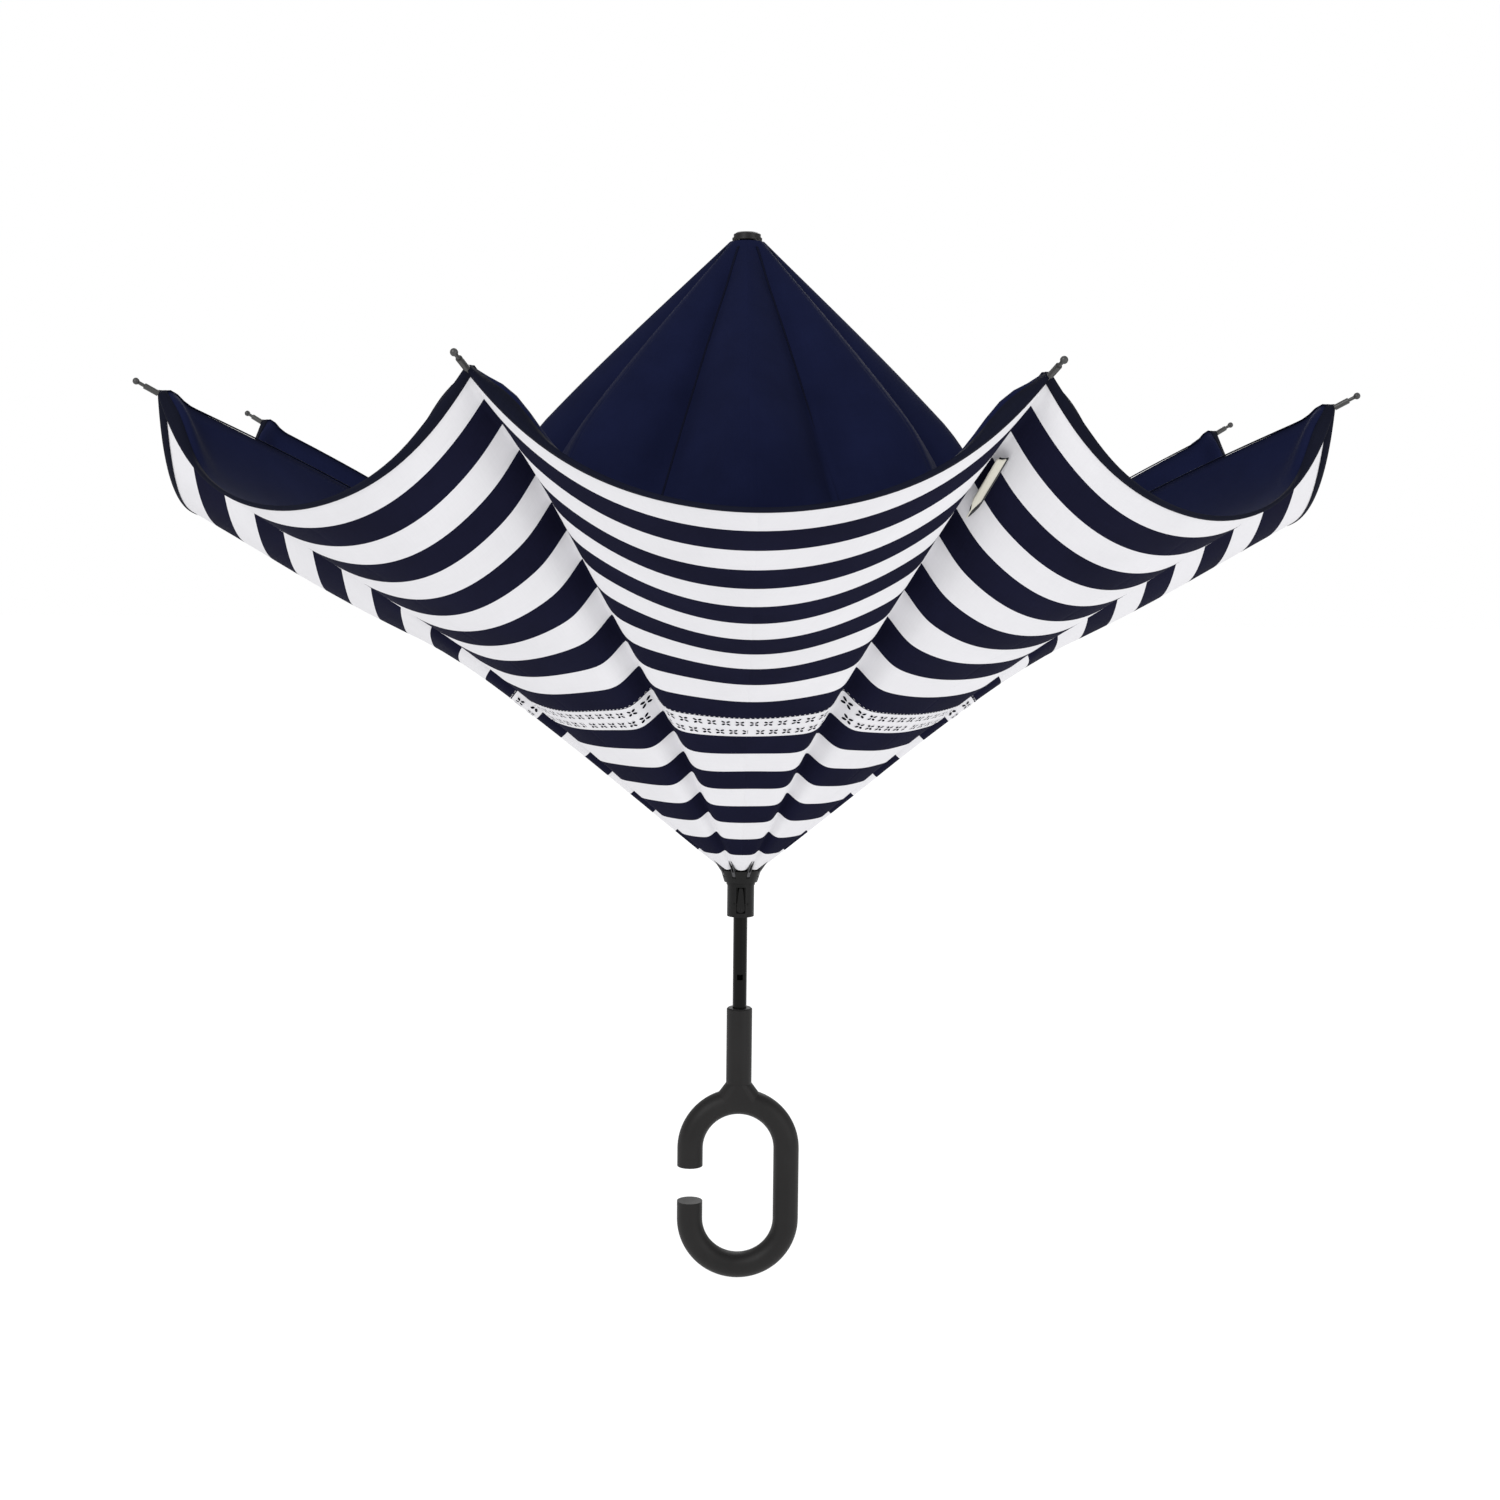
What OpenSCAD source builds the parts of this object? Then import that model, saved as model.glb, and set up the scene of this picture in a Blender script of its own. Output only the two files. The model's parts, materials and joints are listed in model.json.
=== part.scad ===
// Stick umbrella that folds inside out, stored part closed.
// Origin: middle of the handle's grip, on the shaft's axis. +Z runs up the shaft, -Y is the front.

/* [Overall] */
// Length from the top of the cap to the bottom of the handle
total_len = 800; // [760:1:840]
// Number of ribs, each with its own strut
rib_count = 8; // [8:1:8]
// Distance of each rib tip from the shaft's axis, as stored
tip_r = 442; // [425:1:455]
// Height of each rib tip above the top of the runner, as stored
tip_rise = 351; // [340:1:360]

/* [Handle] */
// Diameter of the straight grip
grip_d = 19.7; // [18:0.1:22]
// Length of the straight grip
grip_len = 62; // [50:1:70]
// Outer width of the C-shaped loop
loop_w = 94.4; // [88:0.2:104]
// Outer height of the C-shaped loop
loop_h = 150; // [140:1:160]
// Diameter of the loop's tube
loop_d = 19.8; // [18:0.1:21]
// Width of the mouth in the side of the loop
mouth_gap = 28; // [20:1:34]

/* [Shaft] */
// Outer diameter of the shaft tube
shaft_d = 10.8; // [10.6:0.1:10.8]
// Wall of the shaft tube
shaft_wall = 0.7; // [0.5:0.1:1]
// Length of bare shaft from the grip's top to the runner's top, as stored
runner_gap = 108; // [106:1:112]
// Height of the cap's top above the runner's top, as stored
cap_rise = 478; // [474:1:482]

/* [Runner] */
// Diameter of the flared collar's top
collar_top_d = 31.4; // [31:0.1:33]
// Diameter of the flared collar's bottom
collar_bottom_d = 25.4; // [24:0.1:26]
// Height of the flared collar
collar_h = 9.6; // [9:0.1:11]
// Diameter of the sleeve below the collar
sleeve_d = 20.7; // [20.5:0.1:21]
// Height of the runner, collar and sleeve together
runner_h = 36.2; // [36:0.1:38]

/* [Frame] */
// Distance from the runner's hinge to the strut's joint, along the inner rib
inner_rib_len = 228; // [224:1:232]
// Travel of the runner from the stored pose down to the closed one
close_drop = 67; // [60:1:68]
// Width of the inner ribs
rib_w = 2.4; // [2.2:0.1:2.4]
// Depth of the inner ribs
rib_depth = 3; // [2.6:0.1:3.2]
// Diameter of the outer, glass-fibre ribs
rod_d = 2.8; // [2.4:0.1:2.8]
// Diameter of the ball on each rib tip
ball_d = 4.6; // [4:0.1:5]

/* [Hidden] */
$fn = 48;
eps = 0.01;
fit = 0.05;
gore = 360 / rib_count;

// Heights along the shaft
grip_top = grip_len / 2;
runner_top = grip_top + runner_gap;
cap_top = runner_top + cap_rise;
loop_bottom = cap_top - total_len;

// Hinge rings of the runner and of the notch
pin_r = 0.8;
eye_r = 1.9;
rib_hinge_r = 12.8;
rib_hinge_z = runner_top - 3;
lug_offset = 4.2;
strut_hinge_r = rib_hinge_r - lug_offset;
strut_hinge_z = cap_top - 17;

// Closed, rib and strut stand upright, so their lengths add up to the distance between the hinges
closed_span = strut_hinge_z - rib_hinge_z + close_drop;
strut_len = closed_span - inner_rib_len;

// Stored pose of the inner rib and the strut, from the triangle between the two hinges and their joint
across = strut_hinge_r - rib_hinge_r;
rise = strut_hinge_z - rib_hinge_z;
span = norm([across, rise]);
lug_reach = norm([inner_rib_len, lug_offset]);
span_angle = atan2(rise, across);
corner_cos = (pow(span, 2) + pow(lug_reach, 2) - pow(strut_len, 2)) / (2 * span * lug_reach);
lug_angle = span_angle - acos(corner_cos);
rib_angle = lug_angle - atan2(lug_offset, inner_rib_len);
joint_r = rib_hinge_r + lug_reach * cos(lug_angle);
joint_z = rib_hinge_z + lug_reach * sin(lug_angle);
strut_angle = atan2(strut_hinge_z - joint_z, joint_r - strut_hinge_r);

// Travel of the runner from the stored pose up to the open one, where the inner ribs lie level
open_joint_r = rib_hinge_r + inner_rib_len;
open_span = lug_offset + sqrt(pow(strut_len, 2) - pow(open_joint_r - strut_hinge_r, 2));
open_rise = rise - open_span;

// Outer rib, from its hinge beyond the joint to the tip
clip_len = inner_rib_len + 12;
clip_r = rib_hinge_r + clip_len * cos(rib_angle);
clip_z = rib_hinge_z + clip_len * sin(rib_angle);
tip_z = runner_top + tip_rise;
outer_len = norm([tip_r - clip_r, tip_z - clip_z]);
outer_angle = atan2(tip_z - clip_z, tip_r - clip_r);
tip_len = 16;

// Small widths across a rib
slot_w = rib_w + 0.4;
strap_gap = rib_w + 0.6;
strap_t = 0.9;
strap_w = strap_gap + 2 * strap_t;
strap_h = 2 * eye_r - 0.4;
tongue_w = 1.6;
cheek_w = 3.8;

// Button in the front of the sleeve
button_w = 6.4;
button_top = runner_top - 13.5;
button_bottom = runner_top - 32.5;
button_pivot_y = -8.7;
button_pivot_z = runner_top - 26;
nose_z = runner_top - 16.5;
button_back_y = -8;
pocket_floor_y = -6.9;

// Cloth
cloth_t = 0.5;
valley_r = 214;
crown_r = 13.2;
crown_z = cap_top - 7;
seam_slope = (tip_rise - 14) / (tip_r - 30);
strap_len = 62;

// Turns a shape drawn in the X-Z plane to the place of rib i, counted from 1 at the front right
module at_rib(i) {
    rotate([0, 0, -90 + gore * (i - 0.5)]) children();
}

// Puts a shape drawn along +X at a hinge, turned up by an angle
module at_hinge(r, z, angle) {
    translate([r, 0, z]) rotate([0, -angle, 0]) children();
}

// Round bar across a rib, along Y
module cross_bar(r, w) {
    rotate([90, 0, 0]) cylinder(r = r, h = w, center = true);
}

// Box along +X from x0 to x1, centred across and in depth
module bar(x0, x1, w, depth) {
    translate([x0, -w / 2, -depth / 2]) cube([x1 - x0, w, depth]);
}

module shaft() {
    bottom = grip_top - 45;
    latch_w = 4.4;
    color("#141414") difference() {
        translate([0, 0, bottom]) cylinder(d = shaft_d, h = cap_top - 2.4 - bottom);
        translate([0, 0, bottom - 1]) cylinder(d = shaft_d - 2 * shaft_wall, h = total_len);
        for (z = [nose_z - close_drop, nose_z + open_rise])
            translate([-latch_w / 2, -shaft_d, z - 2.2]) cube([latch_w, shaft_d, latch_w]);
    }
}

module handle() {
    loop_r = (loop_w - loop_d) / 2;
    side_len = loop_h - loop_w;
    loop_z = loop_bottom + loop_h / 2;
    arc_top = loop_z + side_len / 2;
    color("#1c1c1c") difference() {
        union() {
            translate([0, 0, arc_top + loop_r]) cylinder(d = grip_d, h = grip_top - arc_top - loop_r - 1);
            translate([0, 0, grip_top - 1]) cylinder(d1 = grip_d, d2 = grip_d - 2, h = 1);
            for (side = [-1, 1])
                translate([0, 0, loop_z + side * side_len / 2]) rotate([90, 0, 0])
                    rotate([0, 0, side > 0 ? 0 : 180]) rotate_extrude(angle = 180)
                        translate([loop_r, 0]) circle(d = loop_d);
            translate([loop_r, 0, loop_z - side_len / 2]) cylinder(d = loop_d, h = side_len);
            for (side = [-1, 1])
                translate([-loop_r, 0, loop_z + side * (side_len + mouth_gap) / 4])
                    cylinder(d = loop_d, h = (side_len - mouth_gap) / 2, center = true);
            // Small fairing between the grip and the loop
            hull() {
                translate([0, 0, arc_top + loop_r + 14]) cylinder(d = grip_d + 0.3, h = 0.5, $fn = 32);
                for (side = [-1, 1])
                    translate([side * loop_r * sin(15), 0, arc_top + loop_r * cos(15)])
                        sphere(d = loop_d - 0.4, $fn = 32);
            }
        }
        translate([0, 0, grip_top - 45.1]) cylinder(d = shaft_d + 2 * fit, h = 60);
    }
}

module top_notch() {
    hub_r = strut_hinge_r - eye_r - 0.1;
    head_r = 10.4;
    color("#202020") difference() {
        union() {
            translate([0, 0, strut_hinge_z - 9]) cylinder(r = hub_r, h = 12);
            translate([0, 0, strut_hinge_z + 2.6]) cylinder(r = head_r, h = 7.2);
            for (i = [1 : rib_count])
                at_rib(i) translate([shaft_d / 2, -(rib_w + 0.3) / 2, strut_hinge_z - 2.1])
                    cube([strut_hinge_r + eye_r - shaft_d / 2, rib_w + 0.3, 5]);
        }
        translate([0, 0, strut_hinge_z - 10]) cylinder(d = shaft_d + 2 * fit, h = 40);
        for (i = [1 : rib_count])
            at_rib(i) translate([strut_hinge_r, 0, strut_hinge_z]) cross_bar(pin_r + fit, 8);
    }
}

module top_cap() {
    color("#181818") {
        difference() {
            union() {
                translate([0, 0, cap_top - 5.5]) cylinder(d = 22.3, h = 1.6);
                translate([0, 0, cap_top - 4]) cylinder(d = 20.2, h = 2.8);
                translate([0, 0, cap_top - 1.2 - eps]) cylinder(d1 = 20.2, d2 = 16.5, h = 1.2);
            }
            translate([0, 0, cap_top - 5.6]) cylinder(d = shaft_d + 2 * fit, h = 3.4);
        }
        translate([0, 0, cap_top - 16]) cylinder(d = shaft_d - 2 * shaft_wall - 0.1, h = 15);
    }
}

// Split liner that runs on the shaft; its slot lets the button's nose through
module runner_liner() {
    color("#303030") difference() {
        translate([0, 0, runner_top - runner_h]) cylinder(r = 6.3, h = runner_h - 1);
        translate([0, 0, runner_top - runner_h - 1]) cylinder(d = shaft_d + 2 * fit, h = runner_h + 2);
        translate([-2.4, -10, runner_top - runner_h - 1]) cube([4.8, 10, runner_h + 2]);
    }
}

module runner_sleeve() {
    collar_bottom = runner_top - collar_h;
    color("#1a1a1a") difference() {
        union() {
            translate([0, 0, collar_bottom])
                cylinder(d1 = collar_bottom_d, d2 = collar_top_d, h = collar_h);
            translate([0, 0, collar_bottom - 2.2]) cylinder(d = sleeve_d + 1.2, h = 2.3);
            translate([0, 0, runner_top - runner_h]) cylinder(d = sleeve_d, h = runner_h - 2);
        }
        translate([0, 0, runner_top - runner_h - 1]) cylinder(r = 6.35, h = runner_h + 2);
        for (i = [1 : rib_count]) {
            at_rib(i) translate([rib_hinge_r - 2.3, -slot_w / 2, rib_hinge_z - 2.3]) cube([20, slot_w, 20]);
            at_rib(i) translate([rib_hinge_r, 0, rib_hinge_z]) cross_bar(pin_r + fit, 6.4);
        }
        translate([-button_w / 2 - 0.3, -20, button_bottom - 0.5])
            cube([button_w + 0.6, 20 + pocket_floor_y, button_top - button_bottom + 1]);
        translate([-2.2, -10, nose_z - 2.6]) cube([4.4, 10, 5.8]);
        translate([0, button_pivot_y, button_pivot_z]) rotate([0, 90, 0])
            cylinder(r = pin_r + fit, h = 11, center = true);
    }
}

// Teardrop push button: its nose drops into the shaft's latch windows
module runner_button() {
    drop_r = button_w / 2;
    color("#262626") {
        difference() {
            translate([0, button_back_y, 0]) rotate([90, 0, 0]) linear_extrude(2.5) hull() {
                translate([0, button_bottom + drop_r]) circle(r = drop_r, $fn = 32);
                translate([0, button_top - 1.6]) circle(r = 1.6, $fn = 32);
            }
            translate([0, button_back_y - 4.6, button_bottom + drop_r]) sphere(r = 2.6);
        }
        translate([-1.6, button_back_y - 0.5, nose_z - 1.2]) cube([3.2, 3, 2.4]);
        translate([0, button_pivot_y, button_pivot_z]) rotate([0, 90, 0])
            cylinder(r = pin_r, h = 10.6, center = true);
    }
}

module button_spring() {
    turns = 3;
    color("silver") for (k = [0 : turns - 1])
        translate([0, pocket_floor_y - 0.2 - k * 0.34, button_bottom + 3.4]) rotate([90, 0, 0])
            rotate_extrude() translate([1.5, 0]) circle(r = 0.18, $fn = 16);
}

// Panel of cloth over rib i, thick downwards, from an outline of [radius, height] points along the rib.
// It is flat from the rib to the middle of each gore beside it, and clear of the next panel there.
module panel(i, outline) {
    below = [for (k = [len(outline) - 1 : -1 : 0]) outline[k] - [0, cloth_t * 1.4]];
    far = tip_r + 20;
    intersection() {
        rotate([0, 0, gore / 2]) rotate_extrude($fn = rib_count) polygon(concat(outline, below));
        at_rib(i) linear_extrude(2 * total_len, center = true)
            polygon([[0.8, 0], [far, far * tan(gore / 2) - 0.3], [far, 0.3 - far * tan(gore / 2)]]);
    }
}

// Inner canopy: from the cap down over the struts to the valley, then out over the rods to the tips
module inner_panel(i) {
    rod_top = rod_d / 2 + 3.4;
    color("#1b2240") panel(i, [
        [crown_r, crown_z],
        [valley_r - 8, clip_z + (valley_r - 8 - clip_r) * tan(outer_angle) + rod_top],
        [tip_r - 16, tip_z - 16 * tan(outer_angle) + rod_top]
    ]);
}

// Outer canopy: from the runner's collar to just below the rib tips
module outer_panel(i) {
    start_r = collar_top_d / 2 + 1.4;
    color("#e6e6ea") panel(i, [
        [start_r, runner_top - 0.6],
        [120, runner_top + (120 - start_r) * seam_slope - 8],
        [300, runner_top + (300 - start_r) * seam_slope - 16],
        [tip_r - 13, runner_top + (tip_r - 13 - start_r) * seam_slope - 8]
    ]);
}

// Places a flat shape on the outside of the outer canopy, along the seam of the first rib
module on_first_seam() {
    along = 0.73 * (tip_r - 30);
    at_rib(1) translate([along, 0, runner_top + (along - 17) * seam_slope - 26])
        rotate([0, -atan(seam_slope), 0]) children();
}

module closing_strap() {
    color("#d8d8de") on_first_seam() cube([strap_len, 10, 1], center = true);
}

module strap_pad() {
    color("#101010") on_first_seam() translate([-4, 0, -1.2]) cube([strap_len - 12, 9.4, 1], center = true);
}

module rib_pins() {
    color("silver") for (i = [1 : rib_count])
        at_rib(i) translate([rib_hinge_r, 0, rib_hinge_z]) cross_bar(pin_r, 6.2);
}

// Steel inner rib: eye at the runner, a lug for the strut and a riveted fork for the outer rib
module inner_rib(i) {
    color("#4a4a4e") at_rib(i) at_hinge(rib_hinge_r, rib_hinge_z, rib_angle) {
        difference() {
            union() {
                cross_bar(eye_r, rib_w);
                bar(1, clip_len - 4, rib_w, rib_depth);
                translate([inner_rib_len, 0, lug_offset]) cross_bar(eye_r, rib_w);
                translate([inner_rib_len - eye_r, -rib_w / 2, 0]) cube([2 * eye_r, rib_w, lug_offset]);
                bar(clip_len - 9, clip_len, cheek_w, rib_depth);
                translate([clip_len, 0, 0]) cross_bar(eye_r, cheek_w);
            }
            cross_bar(pin_r + fit, 10);
            translate([inner_rib_len, 0, lug_offset]) cross_bar(pin_r + fit, 10);
            // Channel along the underside
            translate([4, -rib_w / 2 + 0.5, -rib_depth / 2 - 1]) cube([inner_rib_len - 10, rib_w - 1, 3]);
            // Fork for the outer rib
            bar(clip_len - 3, clip_len + 4, tongue_w + 0.2, 10);
        }
        translate([clip_len, 0, 0]) cross_bar(pin_r, cheek_w);
    }
}

// Glass-fibre outer rib: metal eye and ferrule, rod, and the ball-ended tip that holds the cloth
module outer_rib(i) {
    ferrule_end = 22;
    color("#2a2a2a") at_rib(i) at_hinge(clip_r, clip_z, outer_angle) {
        difference() {
            union() {
                cross_bar(eye_r, tongue_w);
                bar(0.5, 6, tongue_w, 2 * eye_r - 0.8);
            }
            cross_bar(pin_r + fit, 10);
        }
        translate([5, 0, 0]) rotate([0, 90, 0]) cylinder(d = 4, h = ferrule_end - 5);
        translate([5, 0, 0]) rotate([0, 90, 0]) cylinder(d = rod_d, h = outer_len - tip_len - 5 + 8);
        translate([outer_len - tip_len, 0, 0]) rotate([0, 90, 0]) cylinder(d = 4, h = 10);
        translate([outer_len - tip_len, 0, 0]) rotate([0, 90, 0]) cylinder(d = 2.4, h = tip_len);
        translate([outer_len, 0, 0]) sphere(d = ball_d);
    }
}

module strut_pins() {
    color("silver") for (i = [1 : rib_count])
        at_rib(i) translate([strut_hinge_r, 0, strut_hinge_z]) cross_bar(pin_r, strap_w + 0.4);
}

// Two straps that straddle the rib, bridged near the notch; their outer ends carry rivet heads
module strut(i) {
    color("#4a4a4e") at_rib(i) at_hinge(strut_hinge_r, strut_hinge_z, -strut_angle) difference() {
        union() {
            for (side = [-1, 1]) {
                translate([0, side * (strap_gap + strap_t) / 2, 0]) {
                    cross_bar(eye_r, strap_t);
                    bar(0, strut_len, strap_t, strap_h);
                    translate([strut_len, 0, 0]) cross_bar(eye_r, strap_t);
                }
                translate([strut_len, side * (strap_w / 2 + 0.2), 0]) cross_bar(1.3, 0.6);
            }
            bar(7, 13, strap_gap + eps, strap_h - 0.6);
        }
        cross_bar(pin_r + fit, 10);
    }
}

// Cloth loop round a strut, which ties the inner canopy to it
module strut_tie(i) {
    tie_at = 220;
    tie_len = 9;
    tie_t = 0.6;
    gap = 0.4;
    color("#1b2240") at_rib(i) at_hinge(strut_hinge_r, strut_hinge_z, -strut_angle) difference() {
        bar(tie_at, tie_at + tie_len, strap_w + 2 * (gap + tie_t), strap_h + 2 * (gap + tie_t));
        bar(tie_at - 1, tie_at + tie_len + 1, strap_w + 2 * gap + 0.6, strap_h + 2 * gap);
    }
}

shaft();
handle();
top_notch();
top_cap();
runner_liner();
runner_sleeve();
runner_button();
button_spring();
closing_strap();
strap_pad();
rib_pins();
strut_pins();
for (i = [1 : rib_count]) {
    inner_rib(i);
    outer_rib(i);
    strut(i);
    strut_tie(i);
    outer_panel(i);
    inner_panel(i);
}
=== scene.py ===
"""Looks of a stick umbrella that folds inside out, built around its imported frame."""
import json
import math

import bpy
import numpy as np
from mathutils import Matrix, Vector


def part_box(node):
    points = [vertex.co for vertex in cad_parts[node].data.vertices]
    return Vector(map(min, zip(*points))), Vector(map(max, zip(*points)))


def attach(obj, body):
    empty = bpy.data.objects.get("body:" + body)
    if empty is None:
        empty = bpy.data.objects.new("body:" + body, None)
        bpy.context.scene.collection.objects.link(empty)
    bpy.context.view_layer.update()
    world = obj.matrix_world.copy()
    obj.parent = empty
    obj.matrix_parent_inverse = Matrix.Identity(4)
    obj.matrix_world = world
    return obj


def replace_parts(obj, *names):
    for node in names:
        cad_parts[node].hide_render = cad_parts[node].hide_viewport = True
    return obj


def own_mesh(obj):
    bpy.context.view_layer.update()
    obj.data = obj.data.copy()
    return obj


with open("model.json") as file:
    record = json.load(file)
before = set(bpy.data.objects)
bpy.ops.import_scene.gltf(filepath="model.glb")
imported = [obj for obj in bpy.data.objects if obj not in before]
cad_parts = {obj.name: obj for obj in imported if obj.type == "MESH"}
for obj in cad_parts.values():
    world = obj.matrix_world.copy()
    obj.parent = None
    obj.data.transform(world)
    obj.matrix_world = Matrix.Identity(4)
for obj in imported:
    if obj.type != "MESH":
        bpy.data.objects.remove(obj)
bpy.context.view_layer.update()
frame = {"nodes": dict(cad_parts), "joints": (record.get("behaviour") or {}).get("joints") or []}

MM = 0.001
RIBS = 8
HALF = math.pi / RIBS  # half the angle of a gore
STRIPES = 21  # stripes of the outer cloth between the runner and the hem
ROWS_PER_STRIPE = 4
FLAP = 1.2  # half gores that a petal reaches from its rib; past 1 it is a hidden flap
FLAP_SINK = 1.6 * MM  # a flap lies this far under the next petal

# Places taken from the frame
RUNNER_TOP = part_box("runner_sleeve")[1].z
LOOP_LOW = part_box("handle")[0].z
JOINT_AT = {j["name"]: Vector(j["pos_m"]) for j in frame["joints"] if "pos_m" in j}
BALL_R = 2.3 * MM
TIP_R = (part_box("outer_rib_2")[1].x - BALL_R) / math.cos(HALF)
TIP_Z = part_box("outer_rib_2")[1].z - BALL_R
CLIP_R = JOINT_AT["rib_unbend_1"].to_2d().length
CLIP_Z = JOINT_AT["rib_unbend_1"].z
ROD_SLOPE = (TIP_Z - CLIP_Z) / (TIP_R - CLIP_R)
CROWN_R = JOINT_AT["crown_open_1"].to_2d().length
CROWN_Z = JOINT_AT["crown_open_1"].z

# Outer cloth: the seam runs straight from the collar to just short of the tip
COLLAR_R = 16.5 * MM
HEM_BACK = 14 * MM
HEM_R = TIP_R - HEM_BACK
HEM_Z = TIP_Z - HEM_BACK * ROD_SLOPE
SEAM_SLOPE = math.atan2(HEM_Z - RUNNER_TOP, HEM_R - COLLAR_R)
SEAM_LENGTH = math.hypot(HEM_Z - RUNNER_TOP, HEM_R - COLLAR_R)
HEM_SAG = 85 * MM
MID_HEM = (408 * MM, TIP_Z - HEM_SAG)


# ---------------------------------------------------------------- small mathematics

def smooth(low, high, x):
    """0 below low, 1 above high and a soft step between them."""
    t = np.clip((x - low) / (high - low), 0, 1)
    return t * t * (3 - 2 * t)


def mix(a, b, share):
    """a at share 0, b at share 1."""
    return a + (b - a) * share


def along_profile(points, share):
    """Radius and height at shares of the length of a rounded line through some points."""
    points = np.array(points, float)
    for _ in range(3):  # corner cutting rounds the line
        cut = [points[0]]
        for a, b in zip(points[:-1], points[1:]):
            cut += [mix(a, b, 0.25), mix(a, b, 0.75)]
        cut.append(points[-1])
        points = np.array(cut)
    steps = np.r_[0, np.cumsum(np.hypot(*np.diff(points, axis=0).T))]
    at = share * steps[-1]
    return np.interp(at, steps, points[:, 0]), np.interp(at, steps, points[:, 1])


def rib_axes(i):
    """Unit vectors outwards along rib i and across it."""
    angle = -math.pi / 2 + 2 * HALF * (i - 0.5)
    radial = np.array([math.cos(angle), math.sin(angle), 0.0])
    across = np.array([-math.sin(angle), math.cos(angle), 0.0])
    return radial, across


def place(i, out, across, z):
    """Points from their distance outwards along rib i, across it and up."""
    radial, side = rib_axes(i)
    flat = out[..., None] * radial + across[..., None] * side
    flat[..., 2] = z
    return flat


def between_ribs(q, seam, mid, g):
    """Cloth from a rib's seam to the middle of a gore, as distance out, across and height.

    q counts half gores from the rib, with a sign for the side. g is 0 on a seam and 1 in the
    middle. seam and mid are the radius and height there.
    """
    seam_r, seam_z = seam
    mid_r, mid_z = mid
    t = np.abs(q) - 1
    chord = seam_r * math.cos(HALF)
    rho = chord + (mid_r - chord) * g
    tau = seam_r * math.sin(HALF) * t
    out = rho * math.cos(HALF) - tau * math.sin(HALF)
    across = np.sign(q) * (rho * math.sin(HALF) + tau * math.cos(HALF))
    return out, across, seam_z + (mid_z - seam_z) * g


def hem_curve(t):
    """Sag of the hem: 1 in the middle of a gore and 0 at the tips, where t is -1 or 1."""
    return 1 - t * t * (0.7 + 0.3 * t * t)


def gore_place(i, q):
    """Which gore a point of rib i's petal is in, and how far it is from that gore's middle."""
    side = np.sign(q)
    gore = np.where(side >= 0, i, (i - 2) % RIBS + 1)
    return gore, side * (np.abs(q) - 1)


def flap_sink(q):
    return FLAP_SINK * smooth(1.0, 1.05, np.abs(q))


def hump(x, middle, width):
    return np.exp(-((x - middle) / width) ** 2)


# ---------------------------------------------------------------- surfaces of the cloth

def outer_surface(i, q, v, lift=0.0):
    """Striped outer cloth: v runs from 0 at the collar to 1 at the hem; lift is outwards."""
    # Stripes sit a little lower on a seam than in the middle of a gore
    sewn = v - 0.03 * np.sin(math.pi * np.clip(v / 0.8, 0, 1)) ** 2
    seam = (mix(COLLAR_R, HEM_R, sewn), mix(RUNNER_TOP, HEM_Z, sewn))
    profile = [(COLLAR_R - 0.5 * MM, RUNNER_TOP + 1 * MM), (197 * MM, RUNNER_TOP + 152 * MM),
               (294 * MM, RUNNER_TOP + 199 * MM), MID_HEM]
    mid = along_profile(profile, v)
    t = np.abs(q) - 1
    g = mix(1 - t * t, hem_curve(t), smooth(0.7, 1.0, v))
    out, across, z = between_ribs(q, seam, mid, g)
    # Pleat along the seam, ripples, and the hidden flap between the layers
    depth = mix(3 * MM, 15 * MM, smooth(0.0, 0.35, v)) * (1 - smooth(0.8, 0.98, v))
    width = mix(3 * MM, 9 * MM, smooth(0, 0.4, v))
    gore, place_in_gore = gore_place(i, q)
    ripple = 0.8 * MM * np.sin(5.2 * place_in_gore + 1.7 * gore) * np.sin(9 * v + 2.3 * gore)
    inward = depth * np.exp(-np.abs(across / width) ** 1.6) + flap_sink(q)
    inward = inward + ripple * smooth(0.1, 0.4, v) * (1 - smooth(0.8, 1.0, v)) - lift
    out = out - inward * math.sin(SEAM_SLOPE)
    return place(i, out, across, z + inward * math.cos(SEAM_SLOPE))


RING_START_R = 172 * MM  # radius of the inner ring's hidden edge, on a seam
RING_LENGTH = math.hypot(HEM_R - RING_START_R, (HEM_R - RING_START_R) * ROD_SLOPE)


def inner_ring_surface(i, q, v, lift=0.0):
    """Navy inner cloth from under the crown's foot to the hem; lift is upwards."""
    seam_r = mix(RING_START_R, HEM_R, v)
    over_rod = mix(4 * MM, 0.8 * MM, v) + 5 * MM * np.sin(math.pi * v)
    seam = (seam_r, CLIP_Z + (seam_r - CLIP_R) * ROD_SLOPE + over_rod)
    start_r, start_z = 168 * MM, RUNNER_TOP + 172 * MM
    mid = (mix(start_r, MID_HEM[0], v), mix(start_z, MID_HEM[1] + 0.8 * MM, v))
    t = np.abs(q) - 1
    g = mix(1 - t * t, hem_curve(t), smooth(0.6, 1.0, v))
    out, across, z = between_ribs(q, seam, mid, g)
    gore, place_in_gore = gore_place(i, q)
    ripple = 1.4 * MM * np.sin(7 * place_in_gore + 1.3 * gore) * np.sin(math.pi * v)
    # Beside each tip the cloth stands up behind the hem
    stands = 15 * MM * hump(v, 0.962, 0.026) * hump(np.abs(q), 0.14, 0.13)
    return place(i, out, across, z + ripple - flap_sink(q) + lift + stands)


# The crown's foot on a seam, under the ring; its height is above the runner's top
CROWN_FOOT_R = 228 * MM
CROWN_LOW = 196 * MM


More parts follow.
